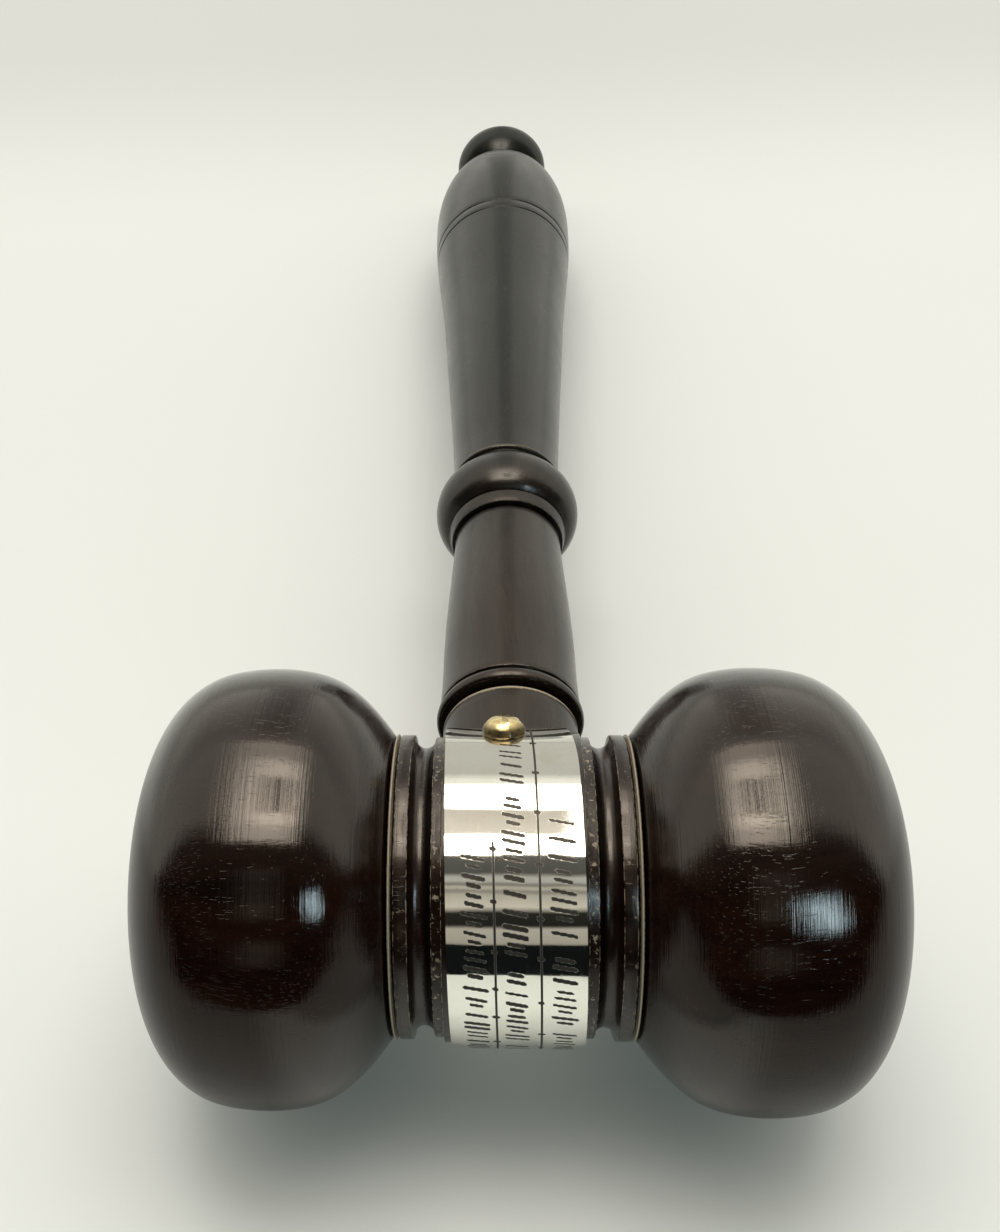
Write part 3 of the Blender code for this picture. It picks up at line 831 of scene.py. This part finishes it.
def plate_mesh(sizes, barrel_radius):
    """The plate as a closed thin sheet bent round the barrel, its face finely divided."""
    inner = barrel_radius + SEAT_CLEARANCE
    outer = plate_radius(sizes, barrel_radius)
    arc_length = outer * 2 * (pi - sizes.end_angle)
    bm = bmesh.new()
    rows = int(sizes.width / arc_length * sizes.stations)
    bmesh.ops.create_grid(bm, x_segments=sizes.stations, y_segments=rows, size=0.5)
    engraving = bm.verts.layers.float.new("engraving")
    strokes = engraved_strokes(arc_length, lambda turn: outer * (turn - sizes.end_angle))
    cell = 1.0 * MM
    buckets = bucketed(strokes, arc_length, cell)
    depths = {}
    for vert in bm.verts:
        along = (vert.co.x + 0.5) * arc_length
        across = vert.co.y * sizes.width
        share = carved_share(along, across, buckets[int(along / cell)])
        vert[engraving] = share
        depths[vert] = (along, across, share)

    def bent(along, across, radius):
        turn = sizes.end_angle + along / outer
        wander = sizes.skew * (turn - UNMOVED_TURN) / (pi / 2)
        wander = max(-WIDEST_WANDER, min(WIDEST_WANDER, wander))
        near_end = max(0.0, 1 - (turn - sizes.end_angle) / TAPER_REACH) ** 2
        right = max(0.0, across / (sizes.width / 2))
        wander -= sizes.end_taper * near_end * right
        return (across + wander, radius * cos(turn), radius * sin(turn))

    for vert, (along, across, share) in depths.items():
        vert.co = bent(along, across, outer - share * sizes.stroke_depth)
    rim = [edge for edge in bm.edges if edge.is_boundary]
    walls = bmesh.ops.extrude_edge_only(bm, edges=rim)
    for vert in walls["geom"]:
        if isinstance(vert, bmesh.types.BMVert):
            shrink = inner / hypot(vert.co.y, vert.co.z)
            vert.co.y *= shrink
            vert.co.z *= shrink
    sides, ends = [], set()
    for edge in bm.edges:
        if edge.is_boundary:
            a, b = (vert.co for vert in edge.verts)
            if abs(atan2(a.z, a.y) - atan2(b.z, b.y)) > 1e-5:
                sides.append(edge)
            else:
                ends.update(edge.verts)
    rails = [edge for edge in sides if ends.isdisjoint(edge.verts)]
    bmesh.ops.bridge_loops(bm, edges=rails)
    bmesh.ops.holes_fill(bm, edges=[edge for edge in bm.edges if edge.is_boundary], sides=0)
    bmesh.ops.recalc_face_normals(bm, faces=bm.faces)
    return bm


def pin_mesh(sizes, barrel_radius, angle):
    """A domed pin head with small dents, on a short shank."""
    shank_radius, shank_end, dent_depth = 0.9 * MM, -3.0 * MM, 0.12 * MM
    rim_start, rim_width, dome_steps = 0.74, 0.2, 24
    turns = [pi / 2 * step / dome_steps for step in range(dome_steps + 1)]
    outline = [(sizes.pin_height * cos(turn), sizes.pin_radius * sin(turn) ** 0.9)
               for turn in turns]
    outline[0] = (sizes.pin_height, 0.0)
    outline += [(0.0, sizes.pin_radius), (-0.25 * MM, sizes.pin_radius - 0.15 * MM),
                (-0.28 * MM, shank_radius), (shank_end, shank_radius), (shank_end, 0.0)]
    bm = turned(outline, facets=96, soften=0.06 * MM)
    # A mask for soiling and painted shade round the rim
    pin_soil_and_shade = bm.verts.layers.float.new("pin_soil_and_shade")
    for vert in bm.verts:
        if vert.co.z > -0.1 * MM:
            dent = noise.noise(vert.co / MM * 0.9 + Vector((angle * 9, 3, 5)))
            vert.co += vert.normal * dent * dent_depth
        away = hypot(vert.co.x, vert.co.y) / sizes.pin_radius
        vert[pin_soil_and_shade] = max(0.0, min(1.0, (away - rim_start) / rim_width))
    seat = plate_radius(sizes, barrel_radius) + 2 * SEAT_CLEARANCE
    place = lying() @ Matrix.Rotation(angle - pi / 2, 4, 'X') @ Matrix.Translation(
        (-sizes.pin_sidestep, 0, seat))
    bmesh.ops.transform(bm, matrix=place, verts=bm.verts)
    return bm


# Operators

class GAVEL_OT_head(bpy.types.Operator):
    """Turn the head: two lobes, the collars, coves and rings, and the barrel"""

    bl_idname = "gavel.head"
    bl_label = "Turn the head"

    def execute(self, context):
        sizes = context.scene.gavel_head
        colours = context.scene.gavel_finishes
        half = head_half(sizes)
        outline = half[::-1] + [(-along, radius) for along, radius in half]
        bm = turned(outline, sizes.facets, soften=0.12 * MM)
        bmesh.ops.transform(bm, matrix=lying() @ ALONG_X, verts=bm.verts)
        rest_on_surface(bm)
        # Lines round the wood as (place, width, breaks, strength), in millimetres: the pale ones
        # are wear with a painted highlight, the dark ones painted shade in the grooves
        barrel = sizes.barrel_width / 2 / MM
        ring_end = barrel + sizes.ring_width / MM
        line = ring_end + (sizes.cove_width + sizes.collar_width) / MM
        pale = ((barrel + 0.6, 0.5, 0.60, 0.7), (line + 0.05, 0.2, 0.1, 0.9),
                (line - 1.1, 1.0, 0.66, 0.4))
        groove_shade = ((line - 0.28, 0.24, 0.1, 0.9), (line + 0.5, 0.3, 0.1, 0.8),
                (ring_end + 0.5, 0.6, 0.2, 0.8))
        wood = (colours.head_dark, colours.head_light)
        finish = hardwood("polished_dark_hardwood", shader_tools(), 'HEAD', wood, wood,
                          colours.edge_wear_and_highlight, pale, groove_shade, HEAD_GLOSS)
        head = finished("turned_head", bm, finish)
        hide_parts("head")
        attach(head, "root")
        return {'FINISHED'}


class GAVEL_OT_handle(bpy.types.Operator):
    """Turn the handle and cope its boss to the barrel"""

    bl_idname = "gavel.handle"
    bl_label = "Turn the handle"

    def execute(self, context):
        sizes = context.scene.gavel_handle
        colours = context.scene.gavel_finishes
        barrel_radius = context.scene.gavel_head.barrel_radius
        points, along = boss_and_shaft(sizes, barrel_radius)
        ring_points, ridge_end = ring(sizes, along)
        points += ring_points + grip_and_button(sizes, ridge_end)
        outline = [(0.0, 0.0), (0.0, sizes.boss_radius)] + points
        bm = turned(outline[::-1], sizes.facets, soften=0.1 * MM)
        bmesh.ops.transform(bm, matrix=lying() @ ALONG_Y, verts=bm.verts)
        rest_on_surface(bm)
        # Lines round the wood as (place, width, breaks, strength), in millimetres: the pale ones
        # are wear with a painted highlight, the dark ones painted shade in the grooves
        rim = (barrel_radius + sizes.boss_height) / MM
        ring_start, ridge = along / MM, ridge_end / MM
        swell = ridge + (GRIP_WAIST + 2 * sizes.grip_half) / MM
        pale = ((rim - 0.28, 0.40, 0.2, 1.0), (ridge - 0.45, 0.4, 0.3, 0.12))
        groove_shade = ((rim + 0.45, 0.75, 0.0, 1.0), (rim + 3.2, 0.35, 0.0, 0.9),
                (ring_start + 0.35, 0.55, 0.0, 1.0), (ring_start + 3.3, 0.4, 0.0, 0.9),
                (ridge - 1.9, 0.9, 0.0, 0.6),
                *((swell - back / MM, 0.3, 0.0, 0.7) for back in GRIP_LINES))
        finish = hardwood("satin_dark_hardwood", shader_tools(), 'HANDLE',
                          (colours.handle_dark, colours.handle_light),
                          (colours.end_dark, colours.end_light), colours.edge_wear_and_highlight, pale, groove_shade,
                          HANDLE_GLOSS)
        handle = finished("turned_handle", bm, finish)
        seat = bmesh.new()
        seat_radius = barrel_radius + SEAT_CLEARANCE
        bmesh.ops.create_cone(seat, cap_ends=True, segments=256, radius1=seat_radius,
                              radius2=seat_radius, depth=30 * MM)
        bmesh.ops.transform(seat, matrix=lying() @ ALONG_X, verts=seat.verts)
        carve(handle, seat)
        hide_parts("handle")
        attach(handle, "root")
        return {'FINISHED'}


class GAVEL_OT_plate(bpy.types.Operator):
    """Bend the engraved silver plate round the barrel"""

    bl_idname = "gavel.plate"
    bl_label = "Bend the silver plate"

    def execute(self, context):
        sizes = context.scene.gavel_plate
        bm = plate_mesh(sizes, context.scene.gavel_head.barrel_radius)
        bmesh.ops.transform(bm, matrix=lying(), verts=bm.verts)
        finish = silver(shader_tools(), context.scene.gavel_finishes)
        plate = finished("engraved_plate", bm, finish, smooth_angle=50)
        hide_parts("silver_band")
        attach(plate, "root")
        return {'FINISHED'}


class GAVEL_OT_pins(bpy.types.Operator):
    """Set the domed brass pins in the plate's ends"""

    bl_idname = "gavel.pins"
    bl_label = "Set the brass pins"

    def execute(self, context):
        sizes = context.scene.gavel_plate
        barrel_radius = context.scene.gavel_head.barrel_radius
        finish = brass(shader_tools(), context.scene.gavel_finishes)
        angle = sizes.end_angle + sizes.pin_setback / plate_radius(sizes, barrel_radius)
        for place, turn in (("upper", angle), ("lower", -angle)):
            pin = finished("brass_pin_" + place, pin_mesh(sizes, barrel_radius, turn), finish)
            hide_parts("band_pin_" + place)
            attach(pin, "root")
        return {'FINISHED'}


def unseen_by(made, *rays):
    """Hide an object from some kinds of rays."""
    for ray in rays:
        setattr(made, "visible_" + ray, False)


def area_light(name, place, target, size, strength, colour):
    """A rectangular light that faces a target, its strength given as the radiance it shows."""
    data = bpy.data.lights.new(name, 'AREA')
    data.shape = 'RECTANGLE'
    data.size, data.size_y = size
    data.energy = strength * pi * size[0] * size[1]
    data.color = colour
    made = bpy.data.objects.new(name, data)
    made.location = place
    made.rotation_euler = (Vector(target) - Vector(place)).to_track_quat('-Z', 'Y').to_euler()
    bpy.context.scene.collection.objects.link(made)
    return made


def sheet(name, finish, centre, tilt, width, height):
    """A flat rectangle of the stage, turned about X."""
    bm = bmesh.new()
    bmesh.ops.create_grid(bm, x_segments=2, y_segments=2, size=0.5)
    bmesh.ops.transform(bm, verts=bm.verts, matrix=Matrix.Translation(centre)
                        @ Matrix.Rotation(tilt, 4, 'X') @ Matrix.Diagonal((width, height, 1, 1)))
    return finished(name, bm, finish)


# The glowing panel over the head: angles are degrees about the head, from the handle upwards
HEAD_MIDDLE = (0.0, -0.0986, 0.0282)
PANEL_ANGLE = radians(77)
PANEL_DISTANCE = 0.24
PANEL_SIDESTEP = -0.06
PANEL_SIZE = (0.168, 0.24)
PANEL_COLOUR = (1.0, 0.91, 0.79, 1)
# Its bright patch and that patch's dim core, as (middle, half height, half width in metres, blur)
BRIGHT_PATCH = (78.0, 17.0, 0.057, 3.0)
DIM_CORE = (80.5, 9.5, 0.024, 1.0)
SKIRT_LEVEL = 0.5
CORE_LEVEL = 0.066


def overhead_panel(strength):
    """A square glowing panel over the head with a dim lamp housing in its middle."""
    made = bpy.data.materials.new("overhead_glow")
    made.use_nodes = True
    made.node_tree.nodes.clear()
    wiring = Wiring(made.node_tree)
    place = wiring.node("ShaderNodeTexCoord").outputs["Object"]
    across, back, up = list(wiring.parts(wiring.vector('SUBTRACT', place, HEAD_MIDDLE)))
    turn = wiring.times(wiring.math('ARCTAN2', up, back), 180 / pi)

    def box(middle, reach, wide, blur):
        """A soft-edged box of directions over the head."""
        high = wiring.math('ABSOLUTE', wiring.minus(turn, middle))
        side = wiring.math('ABSOLUTE', across)
        return wiring.times(wiring.fit(high, reach - blur, reach + blur, 1.0, 0.0, smooth=True),
                            wiring.fit(side, wide * 0.8, wide * 1.2, 1.0, 0.0, smooth=True))

    level = wiring.times(wiring.fit(box(*BRIGHT_PATCH), 0.0, 1.0, SKIRT_LEVEL, 1.0), strength)
    level = wiring.times(level, wiring.fit(turn, 58.0, 96.0, 0.72, 1.35))
    level = wiring.times(level, wiring.fit(box(*DIM_CORE), 0.0, 1.0, 1.0, CORE_LEVEL))
    glow = wiring.node("ShaderNodeEmission", Color=PANEL_COLOUR, Strength=level)
    wiring.node("ShaderNodeOutputMaterial", Surface=glow.outputs[0])
    away = Vector((PANEL_SIDESTEP, cos(PANEL_ANGLE), sin(PANEL_ANGLE)))
    panel = sheet("overhead_panel", made, Vector(HEAD_MIDDLE) + PANEL_DISTANCE * away,
                  PANEL_ANGLE - pi / 2, *PANEL_SIZE)
    unseen_by(panel, "diffuse", "camera", "shadow")


# The room's light as (degrees about the head, level): what the plate reflects, and what is
# further to the sides
MIDDLE_BANDS = (
    (0, 0.52), (38, 0.50), (44, 0.9), (100, 0.9), (104, 0.10), (115, 0.08), (118, 0.42),
    (121, 0.40), (122, 0.22), (123.5, 0.20), (124.5, 0.42), (126, 0.40), (127, 0.24),
    (128.5, 0.26), (130, 0.40), (138, 0.55), (142, 0.02), (151, 0.015), (153.5, 0.40),
    (163, 0.34), (166, 0.004), (180, 0.004))
SIDE_BANDS = ((0, 1.1), (20, 1.0), (36, 0.85), (46, 1.2), (86, 1.2), (99, 0.14), (116, 0.05),
              (135, 0.01), (180, 0.005))
WARM_BANDS = (123, 165)
BACKDROP = (0.93, 0.93, 0.91, 1)


def light_ramp(wiring, share, stops):
    """Brightness against the angle about the head, as (degree, level) stops."""
    ramp = wiring.node("ShaderNodeValToRGB", Fac=share)
    elements = ramp.color_ramp.elements
    for _ in stops[2:]:
        elements.new(0.5)
    for element, (degree, level) in zip(elements, stops):
        element.position = degree / 180
        blue = 0.80 if WARM_BANDS[0] < degree < WARM_BANDS[1] else 0.89
        green = 0.52 + 0.52 * blue
        element.color = (level, level * green, level * blue, 1)
    return ramp.outputs[0]


def light_room():
    """A room of soft bands of light, which the plate reflects one below the other."""
    world = bpy.data.worlds.new("studio")
    bpy.context.scene.world = world
    world.use_nodes = True
    world.node_tree.nodes.clear()
    wiring = Wiring(world.node_tree)
    across, back, up = list(wiring.parts(wiring.node("ShaderNodeTexCoord").outputs["Generated"]))
    share = wiring.math('DIVIDE', wiring.math('ARCTAN2', up, back), pi)
    middle, sides = (light_ramp(wiring, share, bands) for bands in (MIDDLE_BANDS, SIDE_BANDS))
    away = wiring.fit(wiring.math('ABSOLUTE', across), 0.10, 0.17, smooth=True)
    seen = wiring.node("ShaderNodeLightPath").outputs["Is Camera Ray"]
    colour = wiring.mix(seen, wiring.mix(away, middle, sides), BACKDROP)
    glow = wiring.node("ShaderNodeBackground", Color=colour, Strength=1.0)
    wiring.node("ShaderNodeOutputWorld", Surface=glow.outputs[0])


# The camera as fitted to the photograph. The gavel's axes and its head's middle are in the
# camera's coordinates: right, down and away from it, the middle in millimetres.
ALONG_HEAD = (0.998449, -0.005329, -0.055427)
ALONG_HANDLE = (0.037876, -0.66465, 0.746194)
HEAD_FROM_CAMERA = (12.2564, 36.8039, 179.5571)
SENSOR_WIDTH = 36.0
FOCAL_SHARE = 1.369
SHIFT = (0.0806, -0.0122)


def place_camera():
    """The camera at the photograph's viewing angle, its optical axis left of the middle."""
    data = bpy.data.cameras.new("camera")
    data.sensor_fit = 'HORIZONTAL'
    data.sensor_width = SENSOR_WIDTH
    data.lens = SENSOR_WIDTH * FOCAL_SHARE
    data.shift_x, data.shift_y = SHIFT
    data.clip_start = 0.005
    camera = bpy.data.objects.new("camera", data)
    along_head, along_handle = Vector(ALONG_HEAD), Vector(ALONG_HANDLE)
    turn = Matrix((along_head, along_handle, along_head.cross(along_handle)))
    eye = turn @ -(Vector(HEAD_FROM_CAMERA) * MM)
    right, up, back = (turn @ Vector(axis) for axis in ((1, 0, 0), (0, -1, 0), (0, 0, -1)))
    pose = Matrix.Translation(eye) @ Matrix((right, up, back)).transposed().to_4x4()
    camera.matrix_world = lying() @ pose
    bpy.context.scene.collection.objects.link(camera)
    bpy.context.scene.camera = camera


FLOOR_CLOUDS = (0.7, 0.7, 0.68, 1)
# Painted shade on the floor behind the handle
FLOOR_BEHIND_SHADE = (0.55, 0.555, 0.53, 1)


def pale_floor(colour):
    """A plain pale floor with painted shade: darker behind the handle, and darker beside the head
    in reflections.
    """
    made, wiring, shader = new_material("pale_floor")
    source = wiring.node("ShaderNodeTexCoord").outputs["Object"]
    cloud = wiring.noise(source, 9.0, detail=3.0)
    across, along, _ = list(wiring.parts(source))
    base = wiring.mix(wiring.fit(cloud, 0.3, 0.7, 0.0, 0.06), colour4(colour), FLOOR_CLOUDS)
    # Painted shade: the floor darkens behind the handle
    base = wiring.mix(wiring.fit(along, 0.11, 0.23, 0.0, 0.5, smooth=True), base, FLOOR_BEHIND_SHADE)
    # Painted shade in reflections: beside the head, glossy rays see the floor up to half black
    beside = wiring.times(wiring.fit(wiring.math('ABSOLUTE', across), 0.020, 0.032, 0.0, 0.5),
                          wiring.fit(along, -0.06, -0.03, 1.0, 0.2))
    mirrored = wiring.node("ShaderNodeLightPath").outputs["Is Glossy Ray"]
    base = wiring.mix(wiring.times(beside, mirrored), base, (0, 0, 0, 1))
    wiring.wire(shader, Base_Color=base, Roughness=0.45)
    bm = bmesh.new()
    bmesh.ops.create_grid(bm, x_segments=8, y_segments=8, size=4.0)
    finished("pale_floor", bm, made)


def dark_reflection_sheet():
    """A dark sheet in front of the head which only reflections show: a painted dark reflection."""
    made, wiring, shader = new_material("dark_reflection_sheet")
    wiring.wire(shader, Base_Color=(0.005, 0.006, 0.007, 1), Roughness=0.9, Specular_IOR_Level=0.0)
    # Painted dark reflection: a black sheet seen only by glossy rays
    reflection_sheet = sheet("dark_reflection_sheet", made, (0, -0.40, 0.06), pi / 2, 1, 0.12)
    unseen_by(reflection_sheet, "camera", "diffuse", "shadow")


class GAVEL_OT_stage(bpy.types.Operator):
    """Lay out the pale floor, the soft lights and the camera"""

    bl_idname = "gavel.stage"
    bl_label = "Set the stage"

    def execute(self, context):
        studio = context.scene.gavel_studio
        pale_floor(studio.floor_colour)
        dark_reflection_sheet()
        light_room()
        overhead_panel(studio.ceiling_power)
        fill = area_light("soft_fill", place=(0.05, 0.5, 1.35), target=(0, 0, 0), size=(1.2, 1.0),
                          strength=studio.fill_power, colour=(1.0, 1.0, 0.98))
        unseen_by(fill, "glossy")
        front = area_light("front_fill", place=(0, -1.0, 0.45), target=(0, -0.1, 0),
                           size=(1.4, 0.4), strength=1.5, colour=(0.78, 0.98, 0.96))
        unseen_by(front, "glossy")
        window = area_light("window_light", place=(0.073, -0.179, 0.109),
                            target=(0.005, -0.115, 0.049), size=(0.024, 0.031),
                            strength=studio.window_power, colour=(0.64, 0.86, 1.0))
        unseen_by(window, "diffuse", "camera")
        place_camera()
        context.scene.view_settings.view_transform = 'Standard'
        return {'FINISHED'}


class GAVEL_PT_panel(bpy.types.Panel):
    """The gavel's operators in the order they are run"""

    bl_label = "Turned Gavel"
    bl_idname = "GAVEL_PT_panel"
    bl_space_type = 'VIEW_3D'
    bl_region_type = 'UI'
    bl_category = "Gavel"

    def draw(self, context):
        for operator in OPERATORS:
            self.layout.operator(operator.bl_idname)


OPERATORS = (GAVEL_OT_head, GAVEL_OT_handle, GAVEL_OT_plate, GAVEL_OT_pins, GAVEL_OT_stage)
SETTINGS = (("gavel_head", GavelHeadSizes), ("gavel_handle", GavelHandleSizes),
            ("gavel_plate", GavelPlateSizes), ("gavel_finishes", GavelFinishes),
            ("gavel_studio", GavelStudio))


def register():
    """Register every class and hang the settings on the scene."""
    for name, settings in SETTINGS:
        bpy.utils.register_class(settings)
        setattr(bpy.types.Scene, name, PointerProperty(type=settings))
    for made in OPERATORS + (GAVEL_PT_panel,):
        bpy.utils.register_class(made)


def unregister():
    """Take the classes and the settings away again."""
    for made in reversed(OPERATORS + (GAVEL_PT_panel,)):
        bpy.utils.unregister_class(made)
    for name, settings in reversed(SETTINGS):
        delattr(bpy.types.Scene, name)
        bpy.utils.unregister_class(settings)


def main():
    """Build the gavel and its stage."""
    register()
    bpy.ops.gavel.head()
    bpy.ops.gavel.handle()
    bpy.ops.gavel.plate()
    bpy.ops.gavel.pins()
    bpy.ops.gavel.stage()


if __name__ == "__main__":
    main()
